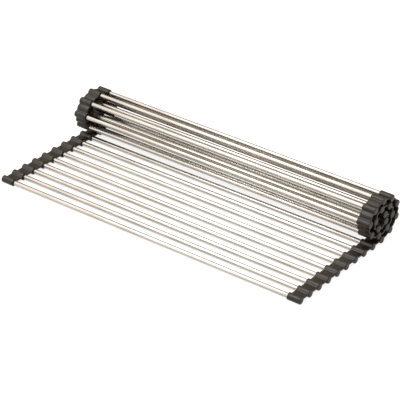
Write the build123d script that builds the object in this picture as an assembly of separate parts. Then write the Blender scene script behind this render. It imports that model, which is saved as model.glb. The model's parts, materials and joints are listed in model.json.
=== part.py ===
from build123d import *
import math
import os

# Roll-up dish drying rack, part rolled. Millimetres.
# X runs along the tubes, -Y is the front edge of the flat part, Z is up.
# The origin is under the middle of the rack, on the worktop.

# ---- driving dimensions ----
slat_count = 27
flat_slats = 9  # slats lying flat, counted from the front edge
slat_pitch = 18.4  # tube centre to tube centre when flat
rack_length = 436.0  # over the silicone ends, along the tubes

tube_diameter = 6.0
tube_wall = 0.45

boss_diameter = 9.0  # round silicone boss over each tube end
boss_length = 17.2
boss_end_wall = 1.8  # silicone closing off the tube's end
boss_edge_round = 0.7
boss_mouth_round = 0.3
pocket_clearance = 0.02  # radial, tube to silicone

web_thickness = 2.0  # flexible web between two bosses
web_height = 0.4  # middle of the web above the boss centre
web_end_recess = 0.8  # web stops short of the boss's closed end
web_gap_factor = 1.1  # plain web half stops this many thicknesses from the hinge line
web_edge_round = 0.4

turn_clearance = 0.3  # air between neighbouring turns of the roll
roll_width_ratio = 1.99  # half width of the outer turn, in pitches
roll_height_ratio = 1.55  # half height of the outer turn, in pitches
roll_centre_ratio = 0.91  # roll centre behind the last flat slat, in pitches
width_loss_ratio = 1.14  # half width lost each turn, in boss diameters
height_loss_ratio = 0.92  # half height lost each turn, in boss diameters
growth_step = 0.005  # the roll grows by this share until its turns clear
loss_step = 0.02  # the two losses are tried this far apart
loss_tries = 4  # steps tried either side of each loss
fold_limit = 118.0  # degrees, tightest bend of one web
wrap_slack = 1.0  # extra room between the front slats and the roll once they wrap it

# ---- derived dimensions ----
tube_length = rack_length - 2 * boss_end_wall
web_half_gap = web_gap_factor * web_thickness
half_pitch = slat_pitch / 2
last_flat = flat_slats - 1


def roll_point(turned, shape):
    """A point of the shrinking ellipse that the hinge lines lie on, from its lowest point."""
    growth, width_loss, height_loss = shape
    turns = turned / (2 * math.pi)
    half_height = growth * roll_height_ratio * slat_pitch
    width = growth * roll_width_ratio * slat_pitch - turns * width_loss * boss_diameter
    height = half_height - turns * height_loss * boss_diameter
    y = (last_flat + roll_centre_ratio) * slat_pitch + width * math.sin(turned)
    z = boss_diameter / 2 + web_height + half_height - height * math.cos(turned)
    return y, z, min(width, height)


def next_hinge(start, turned, shape):
    """Step round the ellipse until the hinge line is one pitch from the last one."""
    low = turned
    high = turned + 0.03
    y, z, size = roll_point(high, shape)
    while math.hypot(y - start[0], z - start[1]) < slat_pitch or (turned == 0 and y < start[0]):
        low = high
        high = high + 0.03
        y, z, size = roll_point(high, shape)
        if size < 0.1 * slat_pitch or high > turned + 4:
            return None
    for _ in range(30):
        middle = (low + high) / 2
        y, z, size = roll_point(middle, shape)
        if math.hypot(y - start[0], z - start[1]) < slat_pitch:
            low = middle
        else:
            high = middle
    return (y, z), high


def roll_bends(shape):
    """Bend at each hinge line of the roll, in radians, from the outer turn inwards."""
    hinge = ((last_flat + 0.5) * slat_pitch, boss_diameter / 2 + web_height)
    turned = 0
    heading = 0
    bends = []
    for _ in range(slat_count - flat_slats):
        found = next_hinge(hinge, turned, shape)
        if found is None:
            return None
        new, turned = found
        aim = math.atan2(new[1] - hinge[1], new[0] - hinge[0])
        bend = (aim - heading) % (2 * math.pi)
        if bend > math.radians(fold_limit):
            return None
        bends.append(bend)
        heading = heading + bend
        hinge = new
    return bends


def lay_out(front_bends, back_bends, opened=0.0):
    """Centre (y, z) and heading of each slat, with the last flat slat held still.

    front_bends folds the flat slats up, from the last flat slat forwards, and
    opened is how far the roll has been opened, from 0 to 1.
    """
    start = (last_flat * slat_pitch, boss_diameter / 2)
    places = [None] * slat_count
    places[last_flat] = (start[0], start[1], 0.0)
    for side, bends, first in ((1, back_bends, last_flat), (-1, front_bends, last_flat)):
        y, z = start
        heading = 0.0
        for number, bend in enumerate(bends):
            turn = side * bend * (1 - opened if side == 1 else 1)
            y = y + side * half_pitch * math.cos(heading) - web_height * math.sin(heading)
            z = z + side * half_pitch * math.sin(heading) + web_height * math.cos(heading)
            heading = heading + turn
            y = y + side * half_pitch * math.cos(heading) + web_height * math.sin(heading)
            z = z + side * half_pitch * math.sin(heading) - web_height * math.cos(heading)
            places[first + side * (number + 1)] = (y, z, heading)
    return [place for place in places if place]


def hinge_line(place, side):
    """Point (y, z) where the web of a slat meets the next slat's web."""
    y, z, heading = place
    along = side * half_pitch
    return (
        y + along * math.cos(heading) - web_height * math.sin(heading),
        z + along * math.sin(heading) + web_height * math.cos(heading),
    )


def gap_to_web(point, place):
    """Distance from a point to the middle line of a slat's two half webs."""
    y, z, heading = place
    along = (point[0] - y) * math.cos(heading) + (point[1] - z) * math.sin(heading)
    across = (point[1] - z) * math.cos(heading) - (point[0] - y) * math.sin(heading)
    past = max(0.0, abs(along) - half_pitch)
    return math.hypot(past, across - web_height)


def least_air(places, enough=None):
    """Smallest air between bosses, and between a boss and webs that aren't its own.

    Stops early once the air is under enough, if that is given.
    """
    least = slat_pitch
    for i, one in enumerate(places):
        for j, other in enumerate(places):
            if i == j or math.hypot(one[0] - other[0], one[1] - other[1]) > 2 * slat_pitch:
                continue
            least = min(least, math.hypot(one[0] - other[0], one[1] - other[1]) - boss_diameter)
            if abs(i - j) > 1:
                least = min(least, gap_to_web(one, other) - (boss_diameter + web_thickness) / 2)
            if enough is not None and least < enough:
                return least
    return least


def opens_freely(bends):
    """Whether every turn keeps its clearance from the rolled pose to the flat one."""
    for step in [n / 60 for n in range(24)] + [n / 20 for n in range(8, 21)]:
        places = lay_out([0.0] * last_flat, bends, step)
        if least_air(places, turn_clearance) < turn_clearance:
            return False
    return True


def roll_shapes():
    """Shapes to try, smallest first: growth, and half width and height lost each turn."""
    tries = range(-loss_tries, loss_tries + 1)
    for size in range(200):
        for wide in tries:
            for high in tries:
                yield (
                    0.95 + size * growth_step,
                    width_loss_ratio + wide * loss_step,
                    height_loss_ratio + high * loss_step,
                )


def wind_roll():
    """The smallest roll whose turns stay clear of one another all the way open."""
    for shape in roll_shapes():
        bends = roll_bends(shape)
        if bends and opens_freely(bends):
            return shape, bends
    raise ValueError("no clear roll at these sizes")


def wrap_bends(shape):
    """Bend of each front hinge once the flat slats are wrapped on round the roll.

    The hinge lines carry on along the same ellipse, outwards, starting from the
    hinge in front of the last flat slat.
    """
    hinge = ((last_flat - 0.5) * slat_pitch, boss_diameter / 2 + web_height)
    turned = -math.asin((roll_centre_ratio + 0.5) / roll_width_ratio)
    heading = math.pi
    bends = []
    for _ in range(last_flat):
        new = hinge
        while math.hypot(new[0] - hinge[0], new[1] - hinge[1]) < slat_pitch:
            turned = turned - 0.002
            y, z, _size = roll_point(turned, shape)
            new = (y + wrap_slack * math.sin(turned), z - wrap_slack * math.cos(turned))
        aim = math.atan2(new[1] - hinge[1], new[0] - hinge[0])
        bends.append((heading - aim) % (2 * math.pi))
        heading = aim
        hinge = new
    return bends


# ---- sub-parts, each in the slat's own frame: tube centre line on X ----


def make_tube():
    """Thin-walled stainless tube, open at both ends inside the silicone."""
    outer = Cylinder(tube_diameter / 2, tube_length, rotation=(0, 90, 0))
    inner = Cylinder(tube_diameter / 2 - tube_wall, tube_length, rotation=(0, 90, 0))
    return outer - inner


def make_web_half(side):
    """Half web on one side of a boss: the rear half ends in a round bead on the hinge line."""
    width = boss_length - web_end_recess
    middle = rack_length / 2 - boss_length + width / 2
    reach = half_pitch if side > 0 else half_pitch - web_half_gap
    slab = Pos(middle, side * reach / 2, web_height) * Box(width, reach, web_thickness)
    if side > 0:
        bead = Cylinder(web_thickness / 2, width, rotation=(0, 90, 0))
        return slab + Pos(middle, half_pitch, web_height) * bead
    tip = slab.edges().filter_by(Axis.X).group_by(Axis.Y)[0]
    return fillet(tip, web_edge_round)


def make_cap(front, rear):
    """Right-hand silicone end: a blind boss with its half webs."""
    boss = Cylinder(boss_diameter / 2, boss_length, rotation=(0, 90, 0))
    ends = boss.edges().filter_by(GeomType.CIRCLE).sort_by(Axis.X)
    boss = fillet(ends[-1], boss_edge_round)
    ends = boss.edges().filter_by(GeomType.CIRCLE).sort_by(Axis.X)
    boss = fillet(ends[0], boss_mouth_round)
    cap = Pos(rack_length / 2 - boss_length / 2, 0, 0) * boss
    if front:
        cap = cap + make_web_half(-1)
    if rear:
        cap = cap + make_web_half(1)
    pocket_depth = boss_length - boss_end_wall
    pocket = Cylinder(tube_diameter / 2 + pocket_clearance, pocket_depth + 10, rotation=(0, 90, 0))
    return cap - Pos(rack_length / 2 - boss_end_wall - pocket_depth / 2 - 5, 0, 0) * pocket


def make_pair(front, rear):
    """Both silicone ends of one slat."""
    right = make_cap(front, rear)
    left = mirror(right, Plane.YZ)
    return [left.solids()[0], right.solids()[0]]


def rack_middle(places):
    """Y of the middle of the rack's footprint as it stands."""
    ys = [place[0] for place in places]
    return (min(ys) + max(ys)) / 2


def build_rack():
    """Write every tube and every pair of silicone ends in its resting place."""
    shape, bends = wind_roll()
    places = lay_out([0.0] * last_flat, bends)
    middle = rack_middle(places)
    tube = make_tube()
    first_pair = make_pair(front=False, rear=True)
    inner_pair = make_pair(front=True, rear=True)
    last_pair = make_pair(front=True, rear=False)
    os.makedirs("parts", exist_ok=True)
    for number, (y, z, heading) in enumerate(places):
        here = Pos(0, y - middle, z) * Rot(math.degrees(heading), 0, 0)
        pair = inner_pair
        if number == 0:
            pair = first_pair
        if number == slat_count - 1:
            pair = last_pair
        label = f"{number + 1:02d}"
        export_step(here * tube, f"parts/tube_{label}.step")
        ends = Compound(children=[here * solid for solid in pair])
        export_step(ends, f"parts/end_caps_{label}.step")
    return bends, places, wrap_bends(shape)


if __name__ == "__main__":
    roll, rest, wrap = build_rack()
    print("roll bends", [round(math.degrees(bend), 1) for bend in roll])
    print("front bends when wrapped", [round(math.degrees(bend), 1) for bend in wrap])
    print("air when wrapped", round(least_air(lay_out(wrap, roll)), 3))
    print("roll top", round(max(place[1] for place in rest) + boss_diameter / 2, 1))
    print("air", round(least_air(rest), 3))
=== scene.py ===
"""Roll-up dish drying rack: steel tubes held in two soft silicone end strips.

Lengths inside the classes are millimetres; a mesh is turned to metres once, when it is stored.
X runs along the tubes, -Y is the flat front edge and Z is up, as in the CAD frame.
"""

import json
import logging
import math
from dataclasses import dataclass, field
from enum import Enum

import bpy
import numpy as np
from mathutils import Matrix, Vector

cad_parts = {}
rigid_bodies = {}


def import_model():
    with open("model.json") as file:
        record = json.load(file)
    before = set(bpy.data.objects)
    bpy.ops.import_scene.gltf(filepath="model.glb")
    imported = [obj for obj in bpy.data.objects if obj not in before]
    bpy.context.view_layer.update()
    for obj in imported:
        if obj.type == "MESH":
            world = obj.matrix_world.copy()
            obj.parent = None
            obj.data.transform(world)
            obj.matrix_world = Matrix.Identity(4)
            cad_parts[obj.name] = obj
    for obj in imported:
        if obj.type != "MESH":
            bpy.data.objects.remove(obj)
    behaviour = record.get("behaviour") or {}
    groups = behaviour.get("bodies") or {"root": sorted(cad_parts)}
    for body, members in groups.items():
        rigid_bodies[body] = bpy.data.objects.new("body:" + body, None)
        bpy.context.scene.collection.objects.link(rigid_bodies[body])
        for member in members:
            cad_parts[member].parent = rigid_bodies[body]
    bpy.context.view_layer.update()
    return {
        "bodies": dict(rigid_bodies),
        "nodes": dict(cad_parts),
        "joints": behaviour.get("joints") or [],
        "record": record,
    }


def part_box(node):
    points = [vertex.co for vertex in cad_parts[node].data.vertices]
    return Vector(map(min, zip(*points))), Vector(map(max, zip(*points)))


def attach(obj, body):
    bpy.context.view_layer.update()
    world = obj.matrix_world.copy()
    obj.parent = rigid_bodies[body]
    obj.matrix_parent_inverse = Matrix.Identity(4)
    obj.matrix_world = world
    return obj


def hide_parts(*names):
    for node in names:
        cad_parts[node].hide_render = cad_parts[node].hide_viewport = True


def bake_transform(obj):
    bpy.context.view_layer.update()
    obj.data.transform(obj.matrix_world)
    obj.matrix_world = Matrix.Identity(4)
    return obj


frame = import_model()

logging.basicConfig(level=logging.INFO, format="%(message)s")
log = logging.getLogger("rack")

MM = 0.001


class Side(Enum):
    """The two ends of the rack, with the sign of X that each lies on."""

    LEFT = -1
    RIGHT = 1


class Slot(Enum):
    """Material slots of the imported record."""

    STEEL = "steel"
    SILICONE = "silicone"


# ---- numpy surfaces ----


@dataclass
class Shell:
    """A closed surface.

    Attributes:
        points: Vertex positions, one row each, in millimetres.
        faces: Vertex numbers of each face, outward side anticlockwise.
    """

    points: np.ndarray
    faces: list[list[int]]

    def volume(self) -> float:
        """Enclosed volume: the sum over fanned triangles of a . (b x c) / 6."""
        fans = [(f[0], f[i], f[i + 1]) for f in self.faces for i in range(1, len(f) - 1)]
        a, b, c = (self.points[list(corner)] for corner in zip(*fans))
        return float(np.einsum("ij,ij->i", a, np.cross(b, c)).sum() / 6)

    def outward(self) -> "Shell":
        """The same surface with its faces turned outwards, judged by the sign of its volume."""
        if self.volume() < 0:
            return Shell(self.points, [face[::-1] for face in self.faces])
        return self

    def placed(self, y: float, z: float, heading: float) -> "Shell":
        """The surface turned about X and moved.

        Args:
            y: Distance moved along Y.
            z: Distance moved along Z.
            heading: Turn about X, in radians, made before the move.

        Returns:
            The new surface: y' = y + y0 cos h - z0 sin h and z' = z + y0 sin h + z0 cos h.
        """
        x0, y0, z0 = self.points.T
        cos, sin = math.cos(heading), math.sin(heading)
        turned = np.column_stack([x0, y + y0 * cos - z0 * sin, z + y0 * sin + z0 * cos])
        return Shell(turned, self.faces)

    def joined(self, other: "Shell") -> "Shell":
        """Both surfaces as one, left apart in space."""
        shift = len(self.points)
        moved = [[corner + shift for corner in face] for face in other.faces]
        return Shell(np.vstack([self.points, other.points]), self.faces + moved)


def lattice(rows: int, columns: int, rows_close: bool) -> list[list[int]]:
    """Quads between the points of a grid whose columns close into rings.

    Args:
        rows: Number of rings.
        columns: Points in each ring.
        rows_close: Whether the last ring joins the first, as on a torus.

    Returns:
        Four corners a face: (i, j), (i, j+1), (i+1, j+1), (i+1, j), counted round.
    """
    i = np.arange(rows if rows_close else rows - 1)[:, None]
    j = np.arange(columns)[None, :]
    after, beside = (i + 1) % rows, (j + 1) % columns
    corners = (i * columns + j, i * columns + beside, after * columns + beside, after * columns + j)
    return np.stack(np.broadcast_arrays(*corners), -1).reshape(-1, 4).tolist()


def revolve(profile: np.ndarray, segments: int, closed: bool) -> Shell:
    """Surface of revolution about X: (x, r) of the profile becomes (x, r cos v, r sin v).

    Args:
        profile: Rows of (x, radius). An open profile starts and ends on the axis.
        segments: Points round the axis.
        closed: Whether the profile is a loop clear of the axis.

    Returns:
        The closed surface, with a single point and a fan at each pole of an open profile.
    """
    rings = profile if closed else profile[1:-1]
    turn = np.arange(segments) * (2 * math.pi / segments)
    x = np.repeat(rings[:, 0], segments)
    y = np.outer(rings[:, 1], np.cos(turn)).ravel()
    z = np.outer(rings[:, 1], np.sin(turn)).ravel()
    points = np.column_stack([x, y, z])
    faces = lattice(len(rings), segments, closed)
    if not closed:
        around = np.arange(segments)
        beside = (around + 1) % segments
        base = (len(rings) - 1) * segments
        start, end = len(points), len(points) + 1
        points = np.vstack([points, [profile[0, 0], 0, 0], [profile[-1, 0], 0, 0]])
        faces += np.column_stack([np.full(segments, start), beside, around]).tolist()
        faces += np.column_stack([np.full(segments, end), base + around, base + beside]).tolist()
    return Shell(points, faces).outward()


def arc(
    centre: tuple[float, float], radius: float, start: float, end: float, steps: int
) -> np.ndarray:
    """Points of a circular arc: centre + radius (cos a, sin a).

    Args:
        centre: Centre of the arc.
        radius: Its radius.
        start: First angle, in degrees.
        end: Last angle, in degrees.
        steps: Number of points, both ends among them.

    Returns:
        One row for each point.
    """
    a = np.radians(np.linspace(start, end, steps))
    return np.column_stack([centre[0] + radius * np.cos(a), centre[1] + radius * np.sin(a)])


def store(shell: Shell, name: str, sharp: float = 40.0) -> bpy.types.Object:
    """Put a surface into the scene as a smooth-shaded mesh object at the origin.

    Args:
        shell: The surface, in millimetres.
        name: Name of the piece.
        sharp: Edges steeper than this many degrees stay crisp.

    Returns:
        The new object.
    """
    mesh = bpy.data.meshes.new(name)
    mesh.from_pydata((shell.points * MM).tolist(), [], shell.faces)
    mesh.shade_smooth()
    mesh.set_sharp_from_angle(angle=math.radians(sharp))
    mesh.validate()
    piece = bpy.data.objects.new(name, mesh)
    bpy.context.scene.collection.objects.link(piece)
    return piece


# ---- materials ----

# A noise texture's values seldom leave this range.
NOISE_LOW = 0.3
NOISE_HIGH = 0.7


def linear(code: str) -> tuple[float, float, float, float]:
    """Linear colour with alpha 1 of an sRGB hex code such as #5A544E."""
    values = [int(code[i : i + 2], 16) / 255 for i in (1, 3, 5)]
    r, g, b = (v / 12.92 if v <= 0.04045 else ((v + 0.055) / 1.055) ** 2.4 for v in values)
    return r, g, b, 1.0


@dataclass
class NodeSheet:
    """A material or world's node tree while it is being filled.

    Attributes:
        tree: The node tree.
    """

    tree: bpy.types.NodeTree

    def add(self, kind: str, settings: dict | None = None, **sockets) -> bpy.types.Node:
        """Add a node with its settings, its input values and its links.

        Args:
            kind: Blender's node type.
            settings: Properties of the node itself.
            **sockets: Inputs by name, with _ for a space, or by n and their number: a
                value, or the output to link.

        Returns:
            The node.
        """
        node = self.tree.nodes.new(kind)
        for name, value in (settings or {}).items():
            setattr(node, name, value)
        for name, value in sockets.items():
            number = name[1:]
            key = int(number) if name[0] == "n" and number.isdigit() else name.replace("_", " ")
            if isinstance(value, bpy.types.NodeSocket):
                self.tree.links.new(value, node.inputs[key])
            else:
                node.inputs[key].default_value = value
        return node

    def ramp(
        self, factor: bpy.types.NodeSocket, stops: tuple[tuple[float, str], ...]
    ) -> bpy.types.NodeSocket:
        """A colour ramp over factor.

        Args:
            factor: The output that drives the ramp.
            stops: Position and sRGB hex colour of each stop, in order.

        Returns:
            The ramp's colour output.
        """
        node = self.add("ShaderNodeValToRGB", Fac=factor)
        while len(node.color_ramp.elements) < len(stops):
            node.color_ramp.elements.new(0.5)
        for element, (position, code) in zip(node.color_ramp.elements, stops):
            element.position = position
            element.color = linear(code)
        return node.outputs["Color"]


def new_material(name: str) -> tuple[bpy.types.Material, NodeSheet]:
    """An empty node material and the sheet that fills it."""
    material = bpy.data.materials.new(name)
    material.use_nodes = True
    material.node_tree.nodes.clear()
    return material, NodeSheet(material.node_tree)


@dataclass(frozen=True)
class DrawnStainless:
    """Stainless steel tube, drawn and then polished along its length.

    The drawing die leaves fine straight lines along the tube, so highlights run in
    long clean bands with a faint streak, and grinding dust gives cloudy dull patches.

    Attributes:
        name: Material name.
        bright: Colour of the polished metal.
        dull: Colour where the polish is a little greyer.
        roughness: Roughness of the polished metal.
        roughness_spread: Extra roughness in the duller streaks.
        line_spacing: Draw line spacing. Real lines are 0.05 mm, too fine to show, so coarser.
        line_length: How far one draw line runs along the tube.
        line_depth: Depth of a draw line.
        line_strength: Share of that depth that the polish has left.
        patch_size: Size of the cloudy patches.
    """

    name: str = "polished_drawn_stainless_tube"
    bright: str = "#B0AAA2"
    dull: str = "#A29B92"
    roughness: float = 0.18
    roughness_spread: float = 0.05
    line_spacing: float = 0.7
    line_length: float = 60.0
    line_depth: float = 0.012
    line_strength: float = 0.05
    patch_size: float = 45.0

    def make(self) -> bpy.types.Material:
        """Build the material."""
        material, sheet = new_material(self.name)
        place = sheet.add("ShaderNodeTexCoord").outputs["Object"]
        along, across = 1 / (self.line_length * MM), 1 / (self.line_spacing * MM)
        stretched = sheet.add("ShaderNodeMapping", Vector=place, Scale=(along, across, across))
        lines = sheet.add("ShaderNodeTexNoise", Vector=stretched.outputs[0], Scale=1.0, Detail=3.0)
        cloud = sheet.add(
            "ShaderNodeTexNoise", Vector=place, Scale=1 / (self.patch_size * MM), Detail=2.0
        )
        colour = sheet.ramp(cloud.outputs[0], ((0.35, self.dull), (0.65, self.bright)))
        rough = sheet.add(
            "ShaderNodeMapRange",
            Value=lines.outputs[0],
            From_Min=NOISE_LOW,
            From_Max=NOISE_HIGH,
            To_Min=self.roughness,
            To_Max=self.roughness + self.roughness_spread,
        )
        bump = sheet.add(
            "ShaderNodeBump",
            Height=lines.outputs[0],
            Strength=self.line_strength,
            Distance=self.line_depth * MM,
        )
        surface = sheet.add(
            "ShaderNodeBsdfPrincipled",
            Base_Color=colour,
            Metallic=1.0,
            Roughness=rough.outputs[0],
            Normal=bump.outputs[0],
        )
        sheet.add("ShaderNodeOutputMaterial", Surface=surface.outputs[0])
        return material


@dataclass(frozen=True)
class MouldedSilicone:
    """Dark warm grey silicone rubber, compression moulded in an eroded steel mould.

    The spark-eroded mould gives a fine even grain, so the rubber is matt with a wide
    soft highlight on its ridges, and handling leaves faint lighter bloom on it.

    Attributes:
        name: Material name.
        dark: Colour of the rubber in its darker cloud.
        light: Colour where there is a little bloom.
        roughness: Roughness where the rubber has been rubbed smooth.
        roughness_spread: Extra roughness where the bloom lies.
        grain_size: Grain spacing. Real grain is 0.1 mm, too fine to show, so coarser.
        grain_depth: Depth of the grain.
        grain_strength: Share of that depth that the moulding took up.
        bloom_size: Size of the cloudy bloom.
        ior: Silicone rubber's index of refraction.
        specular: Specular level, 0.5 for a clean surface. The grain hides some of the gloss.
    """

    name: str = "moulded_silicone_rubber"
    dark: str = "#140E06"
    light: str = "#1F170C"
    roughness: float = 0.3
    roughness_spread: float = 0.14
    grain_size: float = 0.55
    grain_depth: float = 0.05
    grain_strength: float = 0.25
    bloom_size: float = 9.0
    ior: float = 1.41
    specular: float = 0.36

    def make(self) -> bpy.types.Material:
        """Build the material."""
        material, sheet = new_material(self.name)
        place = sheet.add("ShaderNodeTexCoord").outputs["Object"]
        bloom = sheet.add(
            "ShaderNodeTexNoise", Vector=place, Scale=1 / (self.bloom_size * MM), Detail=4.0
        )
        grain = sheet.add(
            "ShaderNodeTexNoise", Vector=place, Scale=1 / (self.grain_size * MM), Detail=2.0
        )
        colour = sheet.ramp(bloom.outputs[0], ((0.35, self.dark), (0.7, self.light)))
        rough = sheet.add(
            "ShaderNodeMapRange",
            Value=bloom.outputs[0],
            From_Min=NOISE_LOW,
            From_Max=NOISE_HIGH,
            To_Min=self.roughness,
            To_Max=self.roughness + self.roughness_spread,
        )
        bump = sheet.add(
            "ShaderNodeBump",
            Height=grain.outputs[0],
            Strength=self.grain_strength,
            Distance=self.grain_depth * MM,
        )
        surface = sheet.add(
            "ShaderNodeBsdfPrincipled",
            Base_Color=colour,
            Roughness=rough.outputs[0],
            Normal=bump.outputs[0],
        )
        surface.inputs["IOR"].default_value = self.ior
        surface.inputs["Specular IOR Level"].default_value = self.specular
        sheet.add("ShaderNodeOutputMaterial", Surface=surface.outputs[0])
        return material


@dataclass(frozen=True)
class StudioFloor:
    """Opal acrylic top of a light table, lit from below so that the ground stays white.

    Attributes:
        name: Material name.
        colour: Colour of the acrylic by reflected light.
        cloud: Colour where the opal is a little denser.
        glow: Strength of the light from below, which keeps the shadows pale.
        roughness: Roughness of the matt top.
        specular: Specular level of the matt top.
        cloud_size: Size of the clouds, in metres.
    """

    name: str = "opal_acrylic_light_table"
    colour: str = "#7C7C7C"
    cloud: str = "#808080"
    glow: float = 0.82
    roughness: float = 0.9
    specular: float = 0.1
    cloud_size: float = 1 / 3

    def make(self) -> bpy.types.Material:
        """Build the material, with a faint cloud in the acrylic."""
        material, sheet = new_material(self.name)
        place = sheet.add("ShaderNodeTexCoord").outputs["Object"]
        clouds = sheet.add(
            "ShaderNodeTexNoise", Vector=place, Scale=1 / self.cloud_size, Detail=1.0
        )
        stops = ((NOISE_LOW, self.colour), (NOISE_HIGH, self.cloud))
        colour = sheet.ramp(clouds.outputs[0], stops)
        surface = sheet.add(
            "ShaderNodeBsdfPrincipled", Base_Color=colour, Roughness=self.roughness
        )
        surface.inputs["Specular IOR Level"].default_value = self.specular
        surface.inputs["Emission Color"].default_value = linear("#FFFFFF")
        surface.inputs["Emission Strength"].default_value = self.glow
        sheet.add("ShaderNodeOutputMaterial", Surface=surface.outputs[0])
        return material


def dress(piece: bpy.types.Object, material: bpy.types.Material) -> None:
    """Give a piece its finish.

    Args:
        piece: The piece's object.
        material: The finish.
    """
    piece.data.materials.append(material)


# ---- where the slats are ----


@dataclass(frozen=True)
class SlatPlace:
    """Rest place of one slat.

    Attributes:
        number: Slat number, 1 at the front edge.
        y: Y of the tube's centre line.
        z: Z of the tube's centre line.
        heading: Turn about X, in radians.
    """

    number: int
    y: float
    z: float
    heading: float

    @property
    def label(self) -> str:
        """Two-figure number that the node and body names end with."""
        return f"{self.number:02d}"

    @property
    def body(self) -> str:
        """Name of the CAD body."""
        return f"slat_{self.label}"

    def along(self) -> np.ndarray:
        """Unit (y, z) from the slat towards the next one."""
        return np.array([math.cos(self.heading), math.sin(self.heading)])


@dataclass
class Layout:
    """Every slat's place and every hinge line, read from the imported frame.

    Attributes:
        pitch: Tube to tube when flat.
        web_height: Height of the web's middle above the tube's centre line.
        slats: The slats, front edge first.
        hinges: (y, z) of the hinge line between slat n and n + 1, keyed by n.
    """

    pitch: float = 18.4
    web_height: float = 0.4
    slats: list[SlatPlace] = field(default_factory=list)
    hinges: dict[int, np.ndarray] = field(default_factory=dict)

    def read(self, packed: dict) -> "Layout":
        """Fill in the slats and hinges.


        Returns:
            The layout itself.
        """
        behaviour = packed["record"]["behaviour"]
        for joint in behaviour["joints"]:
            lower = min(int(joint["parent"][-2:]), int(joint["child"][-2:]))
            self.hinges[lower] = np.array(joint["pos_m"][1:]) / MM
        tilt = math.atan2(self.web_height, self.pitch / 2)
        for number in range(1, len(behaviour["bodies"]) + 1):
            low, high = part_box(f"tube_{number:02d}")
            middle = np.array([low.y + high.y, low.z + high.z]) / (2 * MM)
            front, rear = self.hinges.get(number - 1), self.hinges.get(number)
            if front is not None and rear is not None:
                heading = math.atan2(*(rear - front)[::-1])
            elif rear is not None:
                heading = math.atan2(*(rear - middle)[::-1]) - tilt
            else:
                heading = math.atan2(*(middle - front)[::-1]) + tilt
            self.slats.append(SlatPlace(number, float(middle[0]), float(middle[1]), heading))
        return self


# ---- sub-assemblies ----


@dataclass
class SteelTube:
    """Thin-walled stainless tube with both ends inside the silicone.

    Attributes:
        length: Overall length.
        radius: Outside radius.
        wall: Wall thickness.
        lip: Rounding of the cut edges.
        segments: Points round the tube.
    """

    length: float = 432.4
    radius: float = 3.0
    wall: float = 0.45
    lip: float = 0.08
    segments: int = 48

    def shell(self) -> Shell:
        """Revolve the wall's section, a long rounded rectangle, about the tube's axis."""
        half, inner = self.length / 2, self.radius - self.wall
        corners = [
            arc((half - self.lip, self.radius - self.lip), self.lip, 90, 0, 3),
            arc((half - self.lip, inner + self.lip), self.lip, 0, -90, 3),
            arc((self.lip - half, inner + self.lip), self.lip, 270, 180, 3),
            arc((self.lip - half, self.radius - self.lip), self.lip, 180, 90, 3),
        ]
        return revolve(np.vstack(corners), self.segments, closed=True)

    def build(self, slat: SlatPlace, finish: bpy.types.Material) -> bpy.types.Object:
        """Make one slat's tube.

        Args:
            slat: The slat's place.
            finish: Its material.

        Returns:
            The piece, riding on the slat's body.
        """
        shell = self.shell().placed(slat.y, slat.z, slat.heading)
        piece = store(shell, f"steel_tube_{slat.label}")
        dress(piece, finish)
        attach(piece, slat.body)
        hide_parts(f"tube_{slat.label}")
        return piece


@dataclass
class SiliconeBoss:
    """Blind round boss of the end strip, with the pocket that grips the tube's end.

    Attributes:
        rack_length: Over both strips, along the tubes.
        length: Length of the boss.
        radius: Outside radius.
        end_wall: Silicone closing off the tube's end.
        edge_round: Rounding of the closed end.
        mouth_round: Rounding of the open end.
        crown: How far the closed end swells at its middle.
        crown_rows: Rings across the swell, as shares of its radius.
        side_rows: Rings along the side, as shares of the length from the mouth.
        pocket: Radius of the pocket.
        pocket_round: Rounding of the pocket's mouth.
        segments: Points round the boss.
    """

    rack_length: float = 436.0
    length: float = 17.2
    radius: float = 4.5
    end_wall: float = 1.8
    edge_round: float = 0.7
    mouth_round: float = 0.3
    crown: float = 0.12
    crown_rows: tuple[float, ...] = (0.0, 0.35, 0.7)
    side_rows: tuple[float, ...] = (0.66, 0.33)
    pocket: float = 3.02
    pocket_round: float = 0.2
    segments: int = 40

    def shell(self, side: Side) -> Shell:
        """Revolve the boss's section from the closed end's middle round to the pocket's bottom.

        Args:
            side: The end of the rack it sits on.

        Returns:
            The closed surface in the slat's own frame.
        """
        end = self.rack_length / 2
        mouth = end - self.length
        flat = end - self.crown
        rim = self.radius - self.edge_round
        lip = self.radius - self.mouth_round
        # The swell of the closed end is a parabola: x = end - crown (r / rim)^2.
        swell_radius = np.array(self.crown_rows) * rim
        swell = np.column_stack([end - self.crown * (swell_radius / rim) ** 2, swell_radius])
        profile = np.vstack(
            [
                swell,
                arc((flat - self.edge_round, rim), self.edge_round, 0, 90, 7),
                [(mouth + self.length * share, self.radius) for share in self.side_rows],
                arc((mouth + self.mouth_round, lip), self.mouth_round, 90, 180, 4),
                arc(
                    (mouth + self.pocket_round, self.pocket + self.pocket_round),
                    self.pocket_round,
                    180,
                    270,
                    4,
                ),
                [(end - self.end_wall, self.pocket), (end - self.end_wall, 0.0)],
            ]
        )
        profile[:, 0] *= side.value
        return revolve(profile, self.segments, closed=False)

    def build(self, slat: SlatPlace, finish: bpy.types.Material) -> bpy.types.Object:
        """Make one slat's two bosses as one piece.

        Args:
            slat: The slat's place.
            finish: Their material.

        Returns:
            The piece, riding on the slat's body.
        """
        pair = self.shell(Side.LEFT).joined(self.shell(Side.RIGHT))
        piece = store(pair.placed(slat.y, slat.z, slat.heading), f"silicone_bosses_{slat.label}")
        dress(piece, finish)
        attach(piece, slat.body)
        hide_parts(f"end_caps_{slat.label}")
        return piece


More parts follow.
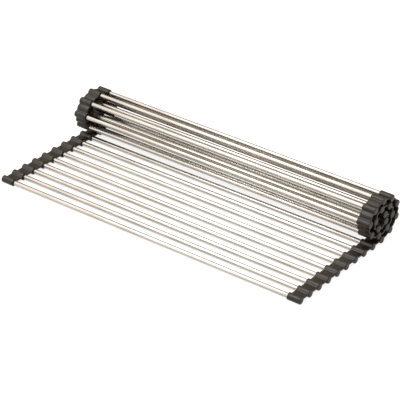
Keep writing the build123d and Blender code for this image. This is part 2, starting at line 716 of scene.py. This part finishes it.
@dataclass
class SiliconeWeb:
    """Flexible web from one boss to the next, moulded in one with both.

    Attributes:
        rack_length: Over both strips, along the tubes.
        boss_length: Length of a boss.
        inset: The web's inner end stops this far inside the boss's mouth.
        recess: The web's outer end stops this far inside the boss's closed end.
        thickness: Thickness of the plain web.
        start: Where the web starts inside the boss, from the boss's middle.
        top_fillet: Where the upper fillet runs out, from the boss's middle.
        top_rise: Rise of the upper fillet for each squared millimetre.
        under_fillet: Where the lower fillet runs out, from the boss's middle.
        under_drop: Drop of the lower fillet for each squared millimetre.
        deepest: Deepest that the lower fillet goes below the web's middle.
        edge_round: Rounding of the web's long edges.
        widest_bend: Longest half of the bent stretch.
        sag: Furthest that the bent web may cut inside the hinge line.
        inner_radius: Smallest radius of the web's middle line.
        fillet_rows: Rows across a leg, as distances past its start.
        row_gap: A fillet row nearer than this to the leg's last row is left out.
        bend_rows: Rows across the stretch that bends.
        straight: A bend under this many radians counts as none.
        sharp: Edges steeper than this many degrees stay crisp.
    """

    rack_length: float = 436.0
    boss_length: float = 17.2
    inset: float = 0.12
    recess: float = 0.8
    thickness: float = 2.0
    start: float = 3.5
    top_fillet: float = 5.4
    top_rise: float = 0.39
    under_fillet: float = 5.3
    under_drop: float = 0.87
    deepest: float = 2.45
    edge_round: float = 0.35
    widest_bend: float = 3.6
    sag: float = 0.35
    inner_radius: float = 1.3
    fillet_rows: tuple[float, ...] = (0.0, 0.25, 0.5, 0.8, 1.1, 1.45, 1.9)
    row_gap: float = 0.15
    bend_rows: int = 11
    straight: float = 1e-6
    sharp: float = 50.0

    def bend(self, near: SlatPlace, far: SlatPlace) -> float:
        """Angle between two slats' headings.

        Args:
            near: The slat in front.
            far: The next slat.

        Returns:
            Radians, never 0, so that the bent stretch always has a radius. A bend that
            rounding has put just under a whole turn counts as straight.
        """
        bend = (far.heading - near.heading) % math.tau
        return self.straight if bend > 0.95 * math.tau else max(bend, self.straight)

    def bend_reach(self, bend: float) -> float:
        """Half length of the stretch that bends, measured along a leg from the hinge line.

        Args:
            bend: Angle between the two legs' headings, in radians.

        Returns:
            Short enough that the arc cuts the corner by no more than sag, and long
            enough that its radius is at least inner_radius.
        """
        if bend < 100 * self.straight:
            return self.widest_bend
        shallow = self.sag / math.tan(bend / 4)
        loose = self.inner_radius * math.tan(bend / 2)
        return min(self.widest_bend, max(shallow, loose))

    def leg(self, reach: float, pitch: float) -> np.ndarray:
        """Distances from the boss's middle of the rows on one straight leg."""
        fillet = np.array(self.fillet_rows) + self.start
        last = pitch / 2 - reach
        return np.append(fillet[fillet < last - self.row_gap], last)

    def depths(self, distance: np.ndarray) -> tuple[np.ndarray, np.ndarray]:
        """Upper and lower surface, measured from the web's middle line.

        Args:
            distance: Distance of each row from its nearer boss's middle.

        Returns:
            Upper and lower offsets. Each fillet is a parabola that runs out flat.
        """
        half = self.thickness / 2
        top = half + self.top_rise * np.clip(self.top_fillet - distance, 0, None) ** 2
        under = half + self.under_drop * np.clip(self.under_fillet - distance, 0, None) ** 2
        return top, np.minimum(under, self.deepest)

    def section(
        self, top: np.ndarray, under: np.ndarray, side: Side
    ) -> tuple[np.ndarray, np.ndarray]:
        """Loop round the web for every row: a rectangle with rounded corners.

        Args:
            top: Upper offset of each row.
            under: Lower offset of each row.
            side: The end of the rack.

        Returns:
            X of each loop point, and its offset from the middle line, row by row.
        """
        inner = self.rack_length / 2 - self.boss_length + self.inset
        outer = self.rack_length / 2 - self.recess
        r = self.edge_round
        # Four points to a corner, from the outer upper corner round by the inner ones.
        corner = np.radians(np.linspace(0, 90, 4))
        quarter = np.repeat(np.arange(4), len(corner))
        angles = np.tile(corner, 4) + quarter * math.pi / 2
        outside = (quarter == 0) | (quarter == 3)
        upper = quarter < 2
        x = np.where(outside, outer - r, inner + r) + r * np.cos(angles)
        edge = np.where(upper[None, :], top[:, None] - r, r - under[:, None])
        return side.value * x, edge + r * np.sin(angles)[None, :]

    def shell(
        self, near: SlatPlace, far: SlatPlace, hinge: np.ndarray, pitch: float, side: Side
    ) -> Shell:
        """Carry the section along leg, arc and leg.

        Args:
            near: The slat in front.
            far: The next slat.
            hinge: (y, z) of the hinge line between them.
            pitch: Tube to tube when flat.
            side: The end of the rack.

        Returns:
            The closed surface at rest. A leg's rows lie on a straight line through the
            hinge line, along its slat; the arc's rows are the near leg's end + r (sin a,
            1 - cos a) in that leg's own axes, for a from 0 to the bend.
        """
        bend = self.bend(near, far)
        reach = self.bend_reach(bend)
        leg = self.leg(reach, pitch)
        ahead, after = near.along(), far.along()
        left = np.array([-ahead[1], ahead[0]])
        a = np.linspace(0, bend, self.bend_rows + 2)[1:-1]
        radius = reach / math.tan(bend / 2)
        curve = (hinge - ahead * reach) + radius * (
            np.outer(np.sin(a), ahead) + np.outer(1 - np.cos(a), left)
        )
        first = hinge - np.outer(pitch / 2 - leg, ahead)
        last = hinge + np.outer(pitch / 2 - leg[::-1], after)
        line = np.vstack([first, curve, last])
        turn = np.concatenate([np.zeros(len(leg)), a, np.full(len(leg), bend)]) + near.heading
        distance = np.concatenate([leg, np.full(len(a), pitch / 2), leg[::-1]])
        x, offset = self.section(*self.depths(distance), side)
        y = line[:, :1] - np.sin(turn)[:, None] * offset
        z = line[:, 1:] + np.cos(turn)[:, None] * offset
        rows, columns = offset.shape
        points = np.column_stack([np.tile(x, rows), y.ravel(), z.ravel()])
        faces = lattice(rows, columns, False)
        faces.append(list(range(columns)))
        faces.append([(rows - 1) * columns + i for i in reversed(range(columns))])
        return Shell(points, faces).outward()

    def build(
        self, near: SlatPlace, far: SlatPlace, layout: Layout, finish: bpy.types.Material
    ) -> bpy.types.Object:
        """Make the left and right webs between two slats as one piece.

        Args:
            near: The slat in front.
            far: The next slat.
            layout: The rack's layout.
            finish: Their material.

        Returns:
            The piece, fixed in its rest shape between the two slats and not attached to either
            slat's body.
        """
        hinge = layout.hinges[near.number]
        webs = [self.shell(near, far, hinge, layout.pitch, side) for side in Side]
        name = f"silicone_webs_{near.label}_{far.label}"
        piece = store(webs[0].joined(webs[1]), name, self.sharp)
        dress(piece, finish)
        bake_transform(piece)
        return piece


@dataclass
class Studio:
    """Floor, soft light and camera.

    Attributes:
        floor_size: Side of the floor, in metres.
        aim: Point that the camera looks at, in millimetres.
        azimuth: Camera's turn from the front towards the right, in degrees.
        elevation: Camera's height angle, in degrees.
        roll: Camera's tilt about its own line of sight, in degrees.
        distance: Camera to aim, in millimetres.
        lens: Focal length.
        sensor: Width of the camera's sensor.
        sky_top: Way to the brightest part of the room.
        sky: Colour of the room by the cosine of the angle from sky_top.
        sky_strength: Brightness of the room.
        lamp_place: Place of the soft lamp, in metres.
        lamp_size: Side of the lamp, in metres.
        lamp_power: Power of the lamp, in watts.
    """

    floor_size: float = 30.0
    aim: tuple[float, float, float] = (5.81, -0.79, 12.38)
    azimuth: float = 36.07
    elevation: float = 29.97
    roll: float = 1.51
    distance: float = 2454.5
    lens: float = 186.7
    sensor: float = 36.0
    sky_top: tuple[float, float, float] = (-0.2, -0.42, 0.88)
    sky: tuple[tuple[float, str], ...] = (
        (0.0, "#453D34"),
        (0.27, "#7A6F62"),
        (0.52, "#F0EBE4"),
        (0.8, "#FFFFFF"),
    )
    sky_strength: float = 2.4
    lamp_place: tuple[float, float, float] = (-0.6, -0.6, 1.6)
    lamp_size: float = 1.0
    lamp_power: float = 20.0

    def lay_floor(self) -> None:
        """A square light table under the rack."""
        half = self.floor_size / 2
        corners = [(-half, -half, 0), (half, -half, 0), (half, half, 0), (-half, half, 0)]
        mesh = bpy.data.meshes.new("floor")
        mesh.from_pydata(corners, [], [(0, 1, 2, 3)])
        floor = bpy.data.objects.new("floor", mesh)
        bpy.context.scene.collection.objects.link(floor)
        mesh.materials.append(StudioFloor().make())

    def light(self) -> None:
        """A room that is bright above and in front, warm grey and dim low down behind."""
        world = bpy.data.worlds.new("soft_room")
        bpy.context.scene.world = world
        world.use_nodes = True
        world.node_tree.nodes.clear()
        sheet = NodeSheet(world.node_tree)
        way = sheet.add("ShaderNodeTexCoord").outputs["Generated"]
        towards_top = sheet.add(
            "ShaderNodeVectorMath", {"operation": "DOT_PRODUCT"}, n0=way, n1=self.sky_top
        )
        colour = sheet.ramp(towards_top.outputs["Value"], self.sky)
        sky = sheet.add("ShaderNodeBackground", Color=colour, Strength=self.sky_strength)
        sheet.add("ShaderNodeOutputWorld", Surface=sky.outputs[0])

    def hang_lamp(self) -> None:
        """A square soft lamp in front and above, facing the rack."""
        lamp = bpy.data.lights.new("softbox_above", "AREA")
        lamp.shape, lamp.size, lamp.energy = "SQUARE", self.lamp_size, self.lamp_power
        holder = bpy.data.objects.new("softbox_above", lamp)
        holder.location = self.lamp_place
        holder.rotation_euler = (-Vector(self.lamp_place)).to_track_quat("-Z", "Y").to_euler()
        bpy.context.scene.collection.objects.link(holder)

    def set_camera(self) -> None:
        """A long lens at the given angles from the aim point."""
        azimuth, elevation = math.radians(self.azimuth), math.radians(self.elevation)
        back = Vector(
            (
                math.sin(azimuth) * math.cos(elevation),
                -math.cos(azimuth) * math.cos(elevation),
                math.sin(elevation),
            )
        )
        camera = bpy.data.cameras.new("camera")
        camera.lens, camera.sensor_width = self.lens, self.sensor
        camera.clip_end = 50.0
        holder = bpy.data.objects.new("camera", camera)
        place = Matrix.Translation((Vector(self.aim) + back * self.distance) * MM)
        turn = (-back).to_track_quat("-Z", "Y").to_matrix().to_4x4()
        tilt = Matrix.Rotation(math.radians(self.roll), 4, "Z")
        holder.matrix_world = place @ turn @ tilt
        bpy.context.scene.collection.objects.link(holder)
        bpy.context.scene.camera = holder

    def build(self) -> None:
        """Set up everything that isn't the rack."""
        # The default view transform would turn the white ground grey.
        bpy.context.scene.view_settings.view_transform = "Standard"
        self.set_camera()
        self.lay_floor()
        self.light()
        self.hang_lamp()


@dataclass
class DryingRack:
    """The whole rack: tubes, bosses and webs.

    Attributes:
        layout: Where the slats are.
        tube: Maker of the tubes.
        boss: Maker of the bosses.
        web: Maker of the webs.
    """

    layout: Layout
    tube: SteelTube = field(default_factory=SteelTube)
    boss: SiliconeBoss = field(default_factory=SiliconeBoss)
    web: SiliconeWeb = field(default_factory=SiliconeWeb)

    def build(self) -> list[bpy.types.Object]:
        """Make every piece of the rack, front edge first."""
        steel, silicone = DrawnStainless().make(), MouldedSilicone().make()
        slats = self.layout.slats
        pieces = [self.tube.build(slat, steel) for slat in slats]
        pieces += [self.boss.build(slat, silicone) for slat in slats]
        pieces += [
            self.web.build(near, far, self.layout, silicone) for near, far in zip(slats, slats[1:])
        ]
        return pieces


def main() -> None:
    """Build the studio and the rack."""
    Studio().build()
    for piece in DryingRack(Layout().read(frame)).build():
        log.info("%s: %d faces", piece.name, len(piece.data.polygons))


if __name__ == "__main__":
    main()
